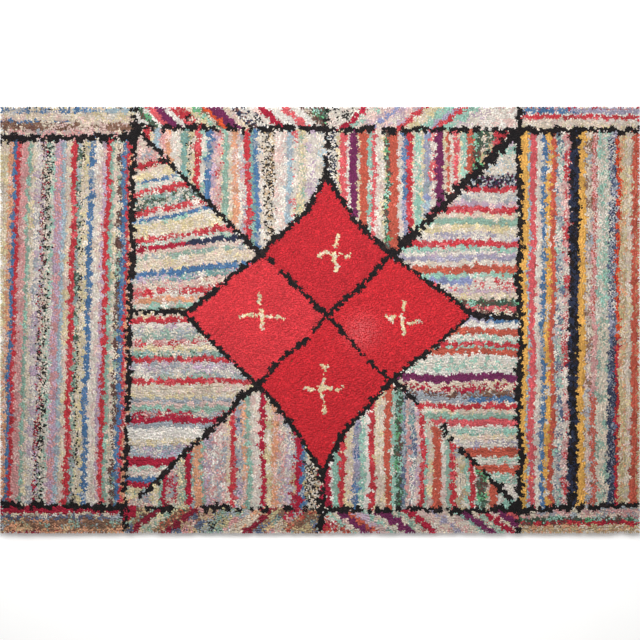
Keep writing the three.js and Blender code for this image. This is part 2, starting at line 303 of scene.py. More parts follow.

# Fields of stripes: their corners, clockwise, the way their rows run in degrees from +X, and the
# yarn and relative width of each stripe, charted from left to right or from top to bottom.
# "blue|lilac@0.3" is a rag that ran out: blue for 0.3 of the row, and lilac for the rest.
# Two angles are a fan, from the first row to the last, whose rows start at the side between its
# first two corners.
FIELDS = [
    ("rim_left_upper left_line_upper square_bottom_left rim_left_lower", 88.4,
     "cream 6, butter 6, peach 6, blue 5, red 6.5, rose 10.5, sage 5, cream 6, greylilac 9, mottle 7, "
     "darkspeckle 8, mintivory 5, lilacpink 10, sky 6, cream 8, red 9, sagetweed 6, speckle 5, butter 6, "
     "blue 8, ivory 11, lilac 5, red 8, sage 5, cream 5, brownsage 7, blue 7, red 5, peach 6"),
    ("square_top_right rim_right_upper rim_right_lower square_bottom_right", 89.6,
     "gold 9.5, sky 2, coral 7, ivory 5.5, blue 4.5, goldmix 5, rust 5.5, mintgrey 8, pinkred 6, "
     "navyblack 9.5, gold 6.5, creamtweed 6.5, rose|rust@0.7 5, mintivory|sagecream@0.5 12, "
     "lavendergrey|navyslate@0.55 7.5, orange|crimson@0.55 3.8, peachkhaki 7, cream 5, rust 7.5, tan 2.5"),
    ("rim_top_left rim_over_left left_line_upper rim_left_upper", 0,
     "speckle 1.2, bluecream|sky@0.8 3.8, cream 6.3, blue|cream@0.3 2, walnutmix|browncream@0.35 7, "
     "pinkgrey 8"),
    ("rim_left_lower square_bottom_left rim_under_left rim_bottom_left", 0,
     "crimson 11.5, cream 2.5, slatedrab 4.5, drabtan 9.5, peachtan 4.5, claret|peachtan@0.3 1.5"),
    ("rim_over_right rim_top_right rim_right_upper square_top_right", 0,
     "rosetweed 1.5, blue|lavender@0.4 5, white 1.5, red 5, ivory 3, cream 7.5"),
    ("square_bottom_right rim_right_lower rim_bottom_right rim_under_right", 0,
     "pinkgrey 12.5, greentweed 3.5, redbrown 4, creamtan 7.5"),
    ("rim_over_left rim_top square_top square_top_left", 137,
     "coral 6, white 5, greentweed 6.5, white 3, coral 6.5, purple 6.2, white 4.5, red 3.3, redblack 7, "
     "butter 3.5, greenmint 5, brownmix 2.5, orange 4.4, purple 9, cream 5.5, navytweed 4.5, ivory 2, "
     "navyivory 5, ivory 4, crimson 6.5, white 9, coral 7, white 7.5, brownmix 4.5, greentweed 12"),
    ("rim_top rim_over_right square_top_right square_top", 38,
     "blackivory 23, crimson 5.5, mintpink 9, blush 7.5, periwinkle 3, blush 12.5, red 5.5, butter 10, "
     "mint 6.5, lavender 3.5, red 6.5, mint 7.5, lilacivory 11, ivorypink 32"),
    ("square_bottom_left square_bottom rim_bottom rim_under_left", 40,
     "claret 9, duskytan 13, claret 6.5, palegreen 9, drabmix 7, claret 7.5, duskypink 13, "
     "yellowtweed 18, rosewhite 4, peachcream 10, claret 6, duskytan 10, crimsontweed 10, rustpeach 5, "
     "duskytan 20"),
    ("square_bottom square_bottom_right rim_under_right rim_bottom", 144,
     "rustcream 21, mint 3, cream 4, purple 7.5, rust 5, pinklilac 7, mint 4, cream 5, purple 9, "
     "sagecream 9, crimson 7.5, pinkcream 12, lavender 4, pinkcream 12, mint 3, purple 8, sagecream 7, "
     "crimson 7, cream 3, purple 8, coral 13"),
    ("square_top_left square_top star_top tip_top_left waist_upper_left", 90,
     "darkspeckle 6, red 5.5, cream 3, sky 4.5, rose 4.5, peach 3.5, ivory 6, teal 4, speckle 2.5, "
     "butter 2, red 4.2, mintivory 3.5, blue 4.4, lilac 2.9, pinkred 3.7, butter 0.9, sage 3.5, "
     "cream 2.7, peach 4, ivory 1.8, lilacgrey 3, red 4.4, teal 2.4, blue 3.6, ivory 2.7, bwtweed 7.5, "
     "ivorypink 8, sky 3.8, coralivory 3.7, palegreen 5.5, lilacivory 7, skyivory 7.5"),
    ("square_top square_top_right waist_upper_right tip_top_right star_top", 90,
     "navyivory 7.5, butter 2, coral 5, ivory 2, purple 5.4, butter 1.9, rust 5.9, mint 3, coral 2.8, "
     "ivory 4.7, butter 1.3, greentweed 3.3, rust 6.9, ivory 2.8, blue|lavender@0.6 3.5, red 4.7, "
     "cream 1, mint 4.7, butter 1.6, bluemix 4.2, coralivory 3.7, purple 5.9, cream 2.5, rust 2.2, "
     "ivory 2.7, coral 3.7, cream 1.8, mint 3.7, rust 4.4, greentweed 5.5, sagepink 9, red 11, ivory 7.7"),
    ("square_left square_top_left waist_upper_left star_left", (19, 3),
     "pinkcream 24, pinkgrey 13, redblack 6, cream 6, butter 6, blue 3, mintivory 6, redwhite 6.5, "
     "sagegrey 12.5, redwhite 5.5, ivory 3, blue 3.5, mintivory 3, butter 12, redwhite 5.5, "
     "mintivory 3.5, crimson|navy@0.47 5.5, pinkcream 4, sageivory 4.5, cream 10, blue 5.5, "
     "teallilac 5.5, pinkcream 7, redwhite 5.5, ivory 2.5, peach 5, mintpink 6"),
    ("square_bottom_left square_left star_left waist_lower_left", 0,
     "cream 6, red 6, lilacivory 6, sageivory 10, pinkred 6, butter 5, sagegrey 6, red 5.5, greylilac 11, "
     "sageivory 5, red 6, cream 9, butter 4, bluegrey 4, pink 4, sage 5, rosetweed 6, crimson 6.5, "
     "bluegrey 5, white 10, butter 6, bluelilac 11, crimson 10.5, mintpink 5, ivory 5, blue 5.5, "
     "crimson 6.5, palegreen 9, butter 4, peach 6"),
    ("square_top_right square_right star_right waist_upper_right", 0,
     "lilacivory 16, mint 8, skyivory 19, darkmulti 12, red 6, ivorygrey 10, lilac 5, red 7, cream 5, "
     "sage 6, butter 8, lavenderivory 8, red 7, mint 5, lilacivory 4, lavender 5, ivory 5, rust 8, "
     "mint 5, periwinkle|redtweed@0.5 6, coralivory 6, lilac 3, cream 6, greentweed 6, coralbrown 7.5, "
     "butter 4"),
    ("square_right square_bottom_right waist_lower_right star_right", 0,
     "lavender|blue@0.4 8, white 5, rust 7, mintivory 7, red 5, mint 2, rust 7, white 4, mintivory 11, "
     "white 3, purple 8, cream 2.5, crimsoncream 7, browngrey 5.5, bluegrey|blue@0.55 5, ivory 1.5, "
     "red 6, cream 4, sage 5.5, coral 7.5, ivorypink 2.5, mint 6, cream 5, lavenderivory 7, rust 10, "
     "mintivory 8, rust 9, mint 11, lilacivory 14, mint 11"),
    ("square_bottom square_bottom_left waist_lower_left tip_bottom_left star_bottom", 90,
     "pinkgrey 36, butter 10, sage 4, crimson 5.5, rosetweed 16, palegreen 11, crimson 9.5, sagegrey 3.5, "
     "peach 10, sage 4, lilacgrey 11, rosewhite 18, cream 5, red 8, slategrey 9, peachpink 6, sage 6, "
     "ivory 12.5, crimson 7.5, butter 9, peach 8, pinkgrey 11, greylilac 8, crimsontweed 5, crimson 8, "
     "blue 5, yellowtweed 3, bwtweed 16, crimsoncream 6"),
    ("square_bottom_right square_bottom star_bottom tip_bottom_right waist_lower_right", 90,
     "ivory 4, crimson 11, white 3, sage 9, red 10, cream 10, lavender|blue@0.65 9, mint 7.6, white 6, "
     "red 9, cream 13.4, rust 10, mint 6, greentweed 9.6, steelblue 5.2, pink|rose@0.3 5.2, "
     "steelblue|ivorypink@0.52 8, blush 6, red 7.3, mint 3.6, cream 7.4, rust 13, ivory 6.8, sage 6, "
     "red 9, tantweed 14, mint 6, red 8, ivory 2.4, greentweed 14.6, cream 4, rust 13, ivorypink 6.4, "
     "mint 23"),
]

# Quarters of the star and its tips, each of one plain red
STAR_ROWS = 45  # the way their rows run
STAR_QUARTERS = [
    ("star_top tip_top_right tip_top_left", "scarlet"),
    ("tip_top_left tip_top_right waist_upper_right star_centre waist_upper_left", "scarlet"),
    ("waist_upper_right star_right waist_lower_right star_centre", "cherry"),
    ("star_centre waist_lower_right tip_bottom_right tip_bottom_left waist_lower_left", "madder"),
    ("tip_bottom_left tip_bottom_right star_bottom", "madder"),
    ("waist_upper_left star_centre waist_lower_left star_left", "poppy"),
]

# Dark rows that outline the fields: the corners that each runs through, its width, and the share of it
# that shows between the rows that lean over it
OUTLINES = [
    ("rim_over_left square_top_left", 8, 0.95),
    ("blot_start blot_end", 9.5, 1),
    ("square_top_left left_line_upper square_left", 7.5, 0.93),
    ("square_left square_bottom_left", 7, 0.84),
    ("square_bottom_left rim_under_left", 8, 0.7),
    ("rim_over_right square_top_right", 8, 0.97),
    ("square_top_right square_right square_bottom_right", 7.2, 0.97),
    ("square_bottom_right rim_under_right", 6, 0.9),
    ("square_top_left square_top", 7.5, 0.87),
    ("square_top square_top_right", 7, 0.8),
    ("square_top_right rim_right_upper", 7.2, 0.97),
    ("square_bottom_left square_bottom", 6.5, 0.62),
    ("square_bottom square_bottom_right", 7, 0.85),
    ("square_bottom_right rim_right_lower", 7, 0.95),
    ("rim_left_upper left_line_upper", 9, 0.97),
    ("rim_left_lower square_bottom_left", 7, 0.9),
    ("square_top_left waist_upper_left", 6, 0.98),
    ("square_top_right waist_upper_right", 12.5, 0.98),
    ("square_bottom_right mitre_end", 8.5, 0.9),
    ("mitre_start waist_lower_right", 7.5, 0.95),
    ("mitre_low waist_lower_left", 7, 0.97),
    ("waist_upper_left upper_nick_start", 5, 1),
    ("upper_nick_end star_centre", 6.5, 1),
    ("waist_upper_right star_centre", 6.8, 0.99),
    ("waist_lower_left left_nick_start", 6.5, 1),
    ("left_nick_end star_centre", 4.5, 1),
    ("waist_lower_right right_nick_end", 6.5, 1),
    ("right_nick_start star_centre", 5, 1),
    ("star_top tip_top_left waist_upper_left", 6.5, 0.97),
    ("star_top tip_top_right waist_upper_right", 6.5, 0.97),
    ("star_right waist_upper_right", 6.5, 0.97),
    ("star_right waist_lower_right", 6, 0.97),
    ("star_left waist_upper_left", 6.5, 0.97),
    ("star_left waist_lower_left", 6, 0.97),
    ("star_bottom tip_bottom_left waist_lower_left", 6, 0.97),
    ("star_bottom tip_bottom_right waist_lower_right", 6.5, 0.97),
    ("rim_top square_top star_top", 8, 0.85),
    ("star_bottom square_bottom rim_bottom", 7, 0.9),
    ("square_left star_left", 5, 0.97),
    ("star_right square_right", 8, 0.98),
]

# Plain crosses in the quarters of the star, each worked in short crooked strokes
CROSSES = [
    [(26, 124), (25, 117), (21, 104)],
    [(22, 99), (23, 91), (19, 83), (24, 77), (23, 68)],
    [(-1, 88), (0, 93), (8, 95), (15, 95)],
    [(17, 91), (25, 94), (33, 96)],
    [(36, 88), (40, 93), (45, 98)],
    [(-87, 37), (-82, 33)],
    [(-85, 32), (-84, 19)],
    [(-83, 15), (-84, 7), (-83, -3), (-84, -11), (-81, -16)],
    [(-118, 5), (-110, 7), (-104, 6), (-97, 8), (-92, 4)],
    [(-91, 7), (-83, 5), (-74, 4), (-66, 3)],
    [(-63, 3), (-59, 6), (-57, 2), (-50, 3)],
    [(120, 28), (120, 13)],
    [(117, 9), (119, 1), (118, -8), (121, -16), (118, -23)],
    [(94, 7), (99, 4), (101, -2), (105, -3)],
    [(100, 2), (105, 6), (109, 5)],
    [(125, -4), (133, -4), (141, 0), (148, -2)],
    [(0, -65), (6, -68), (11, -66)],
    [(7, -68), (6, -75)],
    [(3, -79), (5, -90), (1, -97)],
    [(0, -98), (4, -112), (6, -124), (8, -135)],
    [(-23, -94), (-17, -96), (-12, -100), (-3, -97), (4, -94)],
    [(0, -98), (12, -99), (19, -97)],
    [(23, -102), (30, -101), (36, -96)],
]
PATCH_WIDTH = 13  # of the crimson patch at a corner of the square
CROSS_WIDTH = 3.9


def linear(hex_colour):
    """An sRGB hex colour as linear red, green and blue."""
    values = np.array([int(hex_colour[i:i + 2], 16) for i in (1, 3, 5)]) / 255
    return np.where(values <= 0.04045, values / 12.92, ((values + 0.055) / 1.055) ** 2.4)


YARN_COLOURS = {name: DULLED * linear(code) for bag in YARNS.values() for name, code in bag.items()}
YARN_NAMES = list(YARN_COLOURS)
COLOUR_TABLE = np.array([YARN_COLOURS[name] for name in YARN_NAMES])
YARN_FULLNESS = {name: FULLNESS.get(bag, 1) for bag, dyes in YARNS.items() for name in dyes}


def read_mixes(text):
    """The plain yarns of each mixed rag, each as often as it comes."""
    mixes = {}
    for line in text.strip().splitlines():
        name, _, parts = line.partition(":")
        counted = [part.partition("*") for part in parts.split()]
        mixes[name.strip()] = [yarn for yarn, _, count in counted for _ in range(int(count or 1))]
    return mixes


MIXED_YARNS = read_mixes(MIXED_RAGS)


def wander(span, spread=math.pi, waves=7):
    """A slow unevenness of x and y, from about -1 to 1, with waves that run within a spread of X."""
    span_range = (0.7, 1.5)
    height = 1.4  # of all the waves together
    turns = RANDOM.uniform(-spread, spread, waves)
    starts = RANDOM.uniform(0, 2 * math.pi, waves)
    pulses = 2 * math.pi / (span * RANDOM.uniform(*span_range, waves))

    def value(x, y):
        total = 0
        for turn, start, pulse in zip(turns, starts, pulses):
            total = total + np.sin(pulse * (x * math.cos(turn) + y * math.sin(turn)) + start)
        return total * height / waves
    return value


drift_x = wander(DRIFT_SPAN)
drift_y = wander(DRIFT_SPAN)
lump = wander(LUMP_SPAN)
fade = wander(FADE_SPAN)
ripple_x = wander(RIPPLE_SPAN)
ripple_y = wander(RIPPLE_SPAN)


def unsettled(x, y):
    """How freely the rows may stray along X and along Y, from 0 at the rim to 1 inside it."""
    return [np.clip((half - np.abs(v)) / CALM_RIM, 0, 1) for half, v in ((HALF_WIDTH, x), (HALF_DEPTH, y))]


def hooked_at(x, y):
    """Where the hand really hooked a place of the drawn design."""
    free_x, free_y = unsettled(x, y)
    moved_x = x + free_x * (DRIFT * drift_x(x, y) + RIPPLE * ripple_x(x, y))
    moved_y = y + free_y * (DRIFT * drift_y(x, y) + RIPPLE * ripple_y(x, y))
    return moved_x, moved_y


def clip_line(point, along, outline):
    """Where a line enters and leaves a convex outline with clockwise corners, or None."""
    far, parallel = 1e4, 1e-9
    first, last = -far, far
    for start, end in zip(outline, np.roll(outline, -1, axis=0)):
        inward = np.array([end[1] - start[1], start[0] - end[0]])
        rate = np.dot(along, inward)
        depth = np.dot(point - start, inward)
        if abs(rate) < parallel:
            if depth < 0:
                return None
            continue
        if rate > 0:
            first = max(first, -depth / rate)
        else:
            last = min(last, -depth / rate)
    return (first, last) if last - first > SHORTEST_ROW else None


def within(x, y, outline):
    """Which places lie in a convex outline with clockwise corners."""
    inside = np.ones(len(x), bool)
    for start, end in zip(outline, np.roll(outline, -1, axis=0)):
        inside &= (x - start[0]) * (end[1] - start[1]) >= (y - start[1]) * (end[0] - start[0])
    return inside


def read_stripes(text):
    """Each stripe of a chart as its yarn, the yarn that follows it, where that starts, and its width."""
    stripes = []
    for entry in text.split(","):
        yarn, width = entry.split()
        yarn, _, change = yarn.partition("@")
        yarn, _, follower = yarn.partition("|")
        width = float(width) * YARN_FULLNESS.get(yarn, 1)
        stripes.append((yarn, follower or yarn, float(change or 1), width))
    return stripes


def even_places(count):
    """Places across a row, from -1 to 1, that stay evenly spread from each strand to the next."""
    places = np.arange(count) * GOLDEN + RANDOM.random()
    return (places + RANDOM.uniform(-PLACE_JITTER, PLACE_JITTER, count)) % 1 * 2 - 1


def even_along(fine, widths, room):
    """Places along a row that are closer where it is wider, one for each room of its area."""
    area = np.concatenate([[0], np.cumsum((widths[1:] + widths[:-1]) / 2 * np.diff(fine))])
    count = max(2, round(area[-1] / room))
    return np.interp((np.arange(count) + RANDOM.random(count)) / count * area[-1], area, fine)


def zigzag(count):
    """Turns to one side and the other, mostly by turns and each as far as it happens."""
    sides = np.cumsum(RANDOM.random(count) < TURN_CHANCE) % 2 * 2 - 1
    return sides * RANDOM.uniform(*TURNS, count)


def uneven_marks(step):
    """Places along a row from end to end and past them, a step apart more or less."""
    start, length = 1.1 * LONGEST_ROW, 2.4 * LONGEST_ROW
    return step * np.cumsum(RANDOM.uniform(*MARK_STEPS, int(length / step))) - start


class Row:
    """One hooked row: its tufts, and the ragged edge between it and the row before it."""

    def __init__(self, uneven):
        self.tufts = uneven_marks(TUFT)
        self.full = uneven * RANDOM.uniform(0, FULLEST_TUFT, len(self.tufts))
        self.teeth = uneven_marks(TOOTH)
        self.edge = uneven * TOOTH_DEPTH * zigzag(len(self.teeth))

    def swell(self, place):
        """How far the row spreads at its places, how far along their tufts these lie, and which tufts."""
        number = np.clip(np.searchsorted(self.tufts, place) - 1, 0, len(self.tufts) - 2)
        along = 2 * (place - self.tufts[number]) / np.diff(self.tufts)[number] - 1
        return TUFT_SWELL * self.full[number] * (TUFT_MIDDLE - TUFT_PINCH * along ** 2), along, number


def row_edges(place, rows):
    """How far the two edges of the middle one of three rows stray at places along it."""
    before, row, after = rows
    swell = row.swell(place)[0]
    low = before.swell(place)[0] - swell + np.interp(place, row.teeth, row.edge)
    high = swell - after.swell(place)[0] + np.interp(place, after.teeth, after.edge)
    return low, high


def dye_strands(yarn, loop):
    """A plain yarn for each strand: of one colour through a loop, or mixed like a tweed."""
    lot = np.array([YARN_NAMES.index(name) for name in MIXED_YARNS.get(yarn, [yarn])])
    by_loop = lot[RANDOM.integers(len(lot), size=loop.max() + 1)][loop]
    by_strand = lot[RANDOM.integers(len(lot), size=len(loop))]
    share = TWEED_SHARE if yarn in TWEEDS else MIXED_SHARE
    if yarn in CLUMPED_YARNS:
        share = CLUMPED_SHARE
    return np.where(RANDOM.random(len(loop)) < share, by_strand, by_loop)


def swayed(x, y, beside, sway):
    """Places of a row after it sways to one side and the other together with the rows beside it."""
    shift = SWAY * sway(x * beside[1] - y * beside[0], x * beside[0] + y * beside[1])
    free_x, free_y = unsettled(x, y)
    return x - free_x * shift * beside[0], y - free_y * shift * beside[1]


class Pile:
    """The clipped strands and packed roots of every hooked row, gathered row by row."""

    def __init__(self):
        self.strands = []
        self.beds = []

    def add_strands(self, x, y, turn, side, loop, yarn, plain=False):
        """Strands at their places, with the way they lie and their side of the row's middle."""
        loops = loop.max() + 1
        lift = RANDOM.normal(0, PLAIN_LIFT if plain else LIFT, loops)
        shade = RANDOM.normal(0, PLAIN_SHADE if plain else SHADE, loops)
        turn = turn + RANDOM.normal(0, STRAND_TURN, len(x))
        if plain:
            turn = RANDOM.uniform(0, 2 * math.pi, len(x))
        stretch = np.full(len(x), PLAIN_STRETCH if plain else STRAND_STRETCH)
        crown = np.zeros(len(x)) if plain else side ** 2
        self.strands.append(np.stack([x, y, turn, stretch, crown, lift[loop], shade[loop], yarn]))

    def add_row(self, laid, rows, sway, outline, plain):
        """The middle one of three rows of a field, cut to the outline of the field."""
        point, angle, width, yarns = laid
        along = np.array([math.cos(angle), math.sin(angle)])
        beside = np.array([along[1], -along[0]])
        shifts = (-ROW_CATCH, 0, ROW_CATCH)
        ends = [clip_line(point + shift * width * beside, along, outline) for shift in shifts]
        ends = [pair for pair in ends if pair]
        if not ends:
            return
        first = min(pair[0] for pair in ends)
        last = max(pair[1] for pair in ends)
        fine = np.linspace(first, last, int(last - first) + 3)
        low, high = row_edges(fine, rows)
        place = even_along(fine, np.maximum(width + high - low, 0), STRAND_AREA)
        low, high = row_edges(place, rows)
        side = even_places(len(place))
        _, along_tuft, tuft = rows[1].swell(place)
        turn = angle - np.arctan2(side, TUFT_FAN * along_tuft)
        offset = (low + high) / 2 + side * np.maximum(width + high - low, 0) / 2
        x, y = (point + along * place[:, None] + beside * offset[:, None]).T
        inside = within(x, y, outline)
        if not inside.any():
            return
        x, y, turn, side, place, tuft = (values[inside] for values in (x, y, turn, side, place, tuft))
        x, y = swayed(x, y, beside, sway)
        loop = tuft - tuft.min()
        share = (place - first) / (last - first)
        from_top = 1 - share if math.sin(angle) > STEEP else share
        yarn, follower, change = yarns
        dyed = np.where(from_top <= change, dye_strands(yarn, loop), dye_strands(follower, loop))
        self.add_strands(x, y, turn, side, loop, dyed, plain)
        steps = max(1, round((last - first) / ROOT_STEP))
        path = point + along * np.linspace(first, last, steps + 1)[:, None]
        path = np.stack(swayed(*path.T, beside, sway), axis=1)
        self.beds.append((path, width, 0, [yarn, follower]))

    def add_line(self, line, yarn):
        """A row that is worked over the fields."""
        x, y, angle, side, place = line.places()
        loop = (place / TOOTH).astype(int)
        turn = angle - np.arctan2(side, TUFT_FAN * (2 * (place / TOOTH % 1) - 1))
        self.add_strands(x, y, turn, side, loop, dye_strands(yarn, loop))
        for path, width in line.stretches():
            self.beds.append((path, width, LINE_PROUD, [yarn, yarn]))


class Line:
    """A lumpy row over the fields, a little crooked, with gaps where its neighbours cover it."""

    def __init__(self, points, width, cover=1.0, knot=LINE_KNOT):
        self.points = np.array(points, float)
        self.spans = np.linalg.norm(np.diff(self.points, axis=0), axis=1)
        self.runs = np.diff(self.points, axis=0) / self.spans[:, None]
        self.marks = np.concatenate([[0], np.cumsum(self.spans)])
        count = int(self.marks[-1] / knot) + 2
        self.knots = np.linspace(0, self.marks[-1], count)
        self.halves = width / 2 * RANDOM.uniform(*LINE_LUMPS, count)
        self.strays = LINE_STRAY * width * zigzag(count)
        leave = SHORT_GAP_END if cover > MOSTLY_SHOWN else LONG_GAP_END
        enter = leave * (1 - cover) / cover
        covered = False
        for i in range(count):
            covered = cover < UNBROKEN and RANDOM.random() < (1 - leave if covered else enter)
            if covered:
                self.halves[i] = 0

    def lump(self, place, values):
        """The value of the knot that is next to each place along the row."""
        return values[np.clip(np.rint(place / self.knots[1]).astype(int), 0, len(values) - 1)]

    def covers(self, x, y):
        """Which places the row takes up."""
        taken = np.zeros(len(x), bool)
        for start, run, mark, span in zip(self.points, self.runs, self.marks, self.spans):
            place = (x - start[0]) * run[0] + (y - start[1]) * run[1]
            offset = (x - start[0]) * run[1] - (y - start[1]) * run[0]
            half = self.lump(mark + place, self.halves)
            stray = self.lump(mark + place, self.strays)
            reached = (place > -LINE_END) & (place < span + LINE_END)
            taken |= reached & (np.abs(offset - stray) < half)
        return taken

    def places(self):
        """Evenly spread places of strands over the row, with the way the row runs there."""
        fine = np.linspace(0, self.marks[-1], int(2 * self.marks[-1]) + 3)
        place = even_along(fine, 2 * self.lump(fine, self.halves), LINE_STRAND_AREA)
        side = even_places(len(place))
        run = self.runs[np.clip(np.searchsorted(self.marks, place) - 1, 0, len(self.spans) - 1)]
        offset = self.lump(place, self.strays) + side * self.lump(place, self.halves)
        x = np.interp(place, self.marks, self.points[:, 0]) + run[:, 1] * offset
        y = np.interp(place, self.marks, self.points[:, 1]) - run[:, 0] * offset
        return x, y, np.arctan2(run[:, 1], run[:, 0]), side, place

    def stretches(self):
        """The lengths of the row that show, as paths and their widths."""
        shown = []
        path = []
        for knot, half in zip([*self.knots, None], [*self.halves, 0]):
            if half > LEAST_HALF:
                path.append(([np.interp(knot, self.marks, self.points[:, i]) for i in (0, 1)], half))
                continue
            if len(path) > 1:
                places, halves = zip(*path)
                shown.append((np.array(places), 2 * np.mean(halves)))
            path = []
        return shown


def field_rows(pile, corners, rows, stripes, plain=False):
    """The rows of one field, stripe by stripe."""
    outline = np.array([CORNERS[name] for name in corners.split()], float)
    stripes = read_stripes(stripes)
    is_fan = isinstance(rows, tuple)
    fan = rows if is_fan else (rows, rows)
    middle = math.radians(sum(fan) / 2)
    across = np.array([math.sin(middle), -math.cos(middle)])
    low, high = (outline @ across).min(), (outline @ across).max()
    side_end, side_start = outline[:2]
    total = sum(stripe[3] for stripe in stripes)
    laid = []
    done = 0
    for yarn, follower, change, width in stripes:
        room = (high - low) * width / total
        count = max(1, round(room / ROW_PITCH))
        for i in range(count):
            share = (done + width * (i + 0.5) / count) / total
            angle = math.radians(fan[0] + (fan[1] - fan[0]) * share)
            point = across * (low + (high - low) * share)
            if is_fan:
                point = side_start + (side_end - side_start) * share
            laid.append((point, angle, room / count, (yarn, follower, change)))
        done += width
    uneven = PLAIN_UNEVEN if plain else 1
    hooked = [Row(0), *(Row(uneven) for _ in laid), Row(0)]
    hooked[1].edge[:] = 0
    sway = wander(SWAY_SPAN, SWAY_SPREAD, SWAY_WAVES)
    for number, row in enumerate(laid):
        pile.add_row(row, hooked[number:number + 3], sway, outline, plain)


def hook_rug():
    """Every strand of the rug and the bed of every row."""
    pile = Pile()
    for corners, rows, stripes in FIELDS:
        field_rows(pile, corners, rows, stripes)
    for corners, yarn in STAR_QUARTERS:
        field_rows(pile, corners, STAR_ROWS, f"{yarn} 1", plain=True)
    outlines = []
    for names, width, cover in OUTLINES:
        outlines.append(Line([CORNERS[name] for name in names.split()], width, cover))
    patch = Line([CORNERS["patch_start"], CORNERS["patch_end"]], PATCH_WIDTH)
    crosses = [Line(stroke, CROSS_WIDTH, knot=CROSS_KNOT) for stroke in CROSSES]
    strands = np.concatenate(pile.strands, axis=1)
    taken = np.zeros(strands.shape[1], bool)
    for line in [*outlines, patch, *crosses]:
        taken |= line.covers(strands[0], strands[1])
    pile.strands = [strands[:, ~taken]]
    for line in outlines:
        pile.add_line(line, "outline")
    pile.add_line(patch, "crimson")
    for line in crosses:
        pile.add_line(line, "cross")
    return pile


def clip_strands(pile):
    """The strands of the pile: their roots, swellings, tips, leans, lengths, thickness and colours."""
    x, y, turn, stretch, crown, lift, shade, yarn = np.concatenate(pile.strands, axis=1)
    yarn = yarn.astype(int)
    count = len(x)
    x, y = hooked_at(x, y)
    lean = LEAN * RANDOM.uniform(*LEANS, count)
    fall = UNEVEN_CLIP * RANDOM.random(count) + LUMP * (1 - lump(x, y)) / 2
    fall = fall + CROWN * crown - LIFT_LEFT * lift
    fall = np.maximum(fall - DARK_PROUD * (yarn == YARN_NAMES.index("black")), 0)
    root = np.stack([x, y, np.full(count, ROOT_HEIGHT)], axis=1)
    tip = np.stack([x + lean * np.cos(turn), y + lean * np.sin(turn), PILE_TOP - fall], axis=1)
    lean_out(root, tip)
    bulge = root + (tip - root) * BULGE
    thickness = STRAND_RADIUS * RANDOM.uniform(*THICKNESSES, count)
    # painted shade: the sides of each row are darkened here, as if shaded in the grooves between rows
    depth = 1 + shade - PAINTED_ROW_EDGE_SHADE * crown + STRAND_SHADE * RANDOM.normal(size=count) + FADE * fade(x, y)
    # painted shade: the pile is darkened towards its lower side and its two ends, as if the light fell off
    # there
    depth = np.maximum(depth, DARKEST) * (1 + PAINTED_FALLOFF * (y / HALF_DEPTH - (x / HALF_WIDTH) ** 2))
    colour = COLOUR_TABLE[yarn] * depth[:, None] * (1 + STRAND_TINT * RANDOM.normal(size=(count, 3)))
    star = np.isin(yarn, [YARN_NAMES.index(name) for name in YARNS["star_reds"]])
    worn = WORN_SHARE * np.exp(-((x - WORN_PLACE[0]) ** 2 + (y - WORN_PLACE[1]) ** 2) / WORN_RADIUS ** 2)
    colour += (star * worn)[:, None] * (linear(WORN_COLOUR) - colour)
    return (root, bulge, tip, turn, stretch, thickness, colour), yarn


def lean_out(root, tip):
    """Strands at the rim lean out past the edge of the foundation, the longest to the full size."""
    for axis, half in ((0, HALF_WIDTH), (1, HALF_DEPTH)):
        share = np.clip(1 - (SIDE[axis] - np.abs(root[:, axis])) / (2 * LOCK_REACH), 0, 1)
        lean = share * LOCK_REACH * RANDOM.uniform(*LOCK_LENGTHS, len(share))
        tip[:, axis] += np.sign(root[:, axis]) * lean
        tip[:, 2] -= LOCK_DROOP * lean ** 2
        tip[:, axis] = np.clip(tip[:, axis], -half, half)
        root[:, axis] = np.clip(root[:, axis], -SIDE[axis], SIDE[axis])


def grid_cells(*groups):
    """Texture places for groups of equal parts, each part with its own cell of one square grid."""
    side = math.ceil(math.sqrt(sum(count for count, _ in groups)))
    places = []
    first = 0
    for count, shape in groups:
        number = first + np.arange(count)
        cell = np.stack([number % side, number // side], axis=1)
        spread = (1,) * (shape.ndim - 1)
        places.append(((cell.reshape(count, *spread, 2) + shape[None]) / side).reshape(-1, 2))
        first += count
    return np.concatenate(places)


def make_piece(name, points, faces, colours, places, material):
    """One mesh from its points in millimetres, its lists of faces, point colours and texture places."""
    mesh = bpy.data.meshes.new(name)
    sizes = np.concatenate([np.full(len(group), group.shape[1]) for group in faces])
    corners = np.concatenate([group.ravel() for group in faces])
    mesh.vertices.add(len(points))
    mesh.vertices.foreach_set("co", (points * MM).astype(np.float32).ravel())
    mesh.loops.add(len(corners))
    mesh.loops.foreach_set("vertex_index", corners.astype(np.int32))
    mesh.polygons.add(len(sizes))
    mesh.polygons.foreach_set("loop_start", (np.cumsum(sizes) - sizes).astype(np.int32))
    if colours is not None:
        dye = mesh.color_attributes.new("dye", "FLOAT_COLOR", "POINT")
        tint = np.concatenate([colours, np.ones((len(colours), 1))], axis=1)
        dye.data.foreach_set("color", tint.astype(np.float32).ravel())
    if places is not None:
        mesh.uv_layers.new(name="OFBake").data.foreach_set("uv", places.astype(np.float32).ravel())
    mesh.update(calc_edges=True)
    mesh.shade_smooth()
    mesh.materials.append(material)
    piece = bpy.data.objects.new(name, mesh)
    bpy.context.collection.objects.link(piece)
    return piece


def strand_cell():
    """The faces of one strand laid out in its cell: round it across, and from root to tip upwards."""
    margin = 0.12
    low, middle, high = margin, 0.5, 1 - margin
    steps = margin + (1 - 2 * margin) * np.arange(STRAND_SIDES + 1) / STRAND_SIDES
    half = (steps[1] - steps[0]) / 2
    lower = [[(s + half, low), (t, middle), (s, middle)] for s, t in zip(steps[:-1], steps[1:])]
    upper = [[(s, middle), (t, middle), (s + half, high)] for s, t in zip(steps[:-1], steps[1:])]
    return np.array(lower + upper)


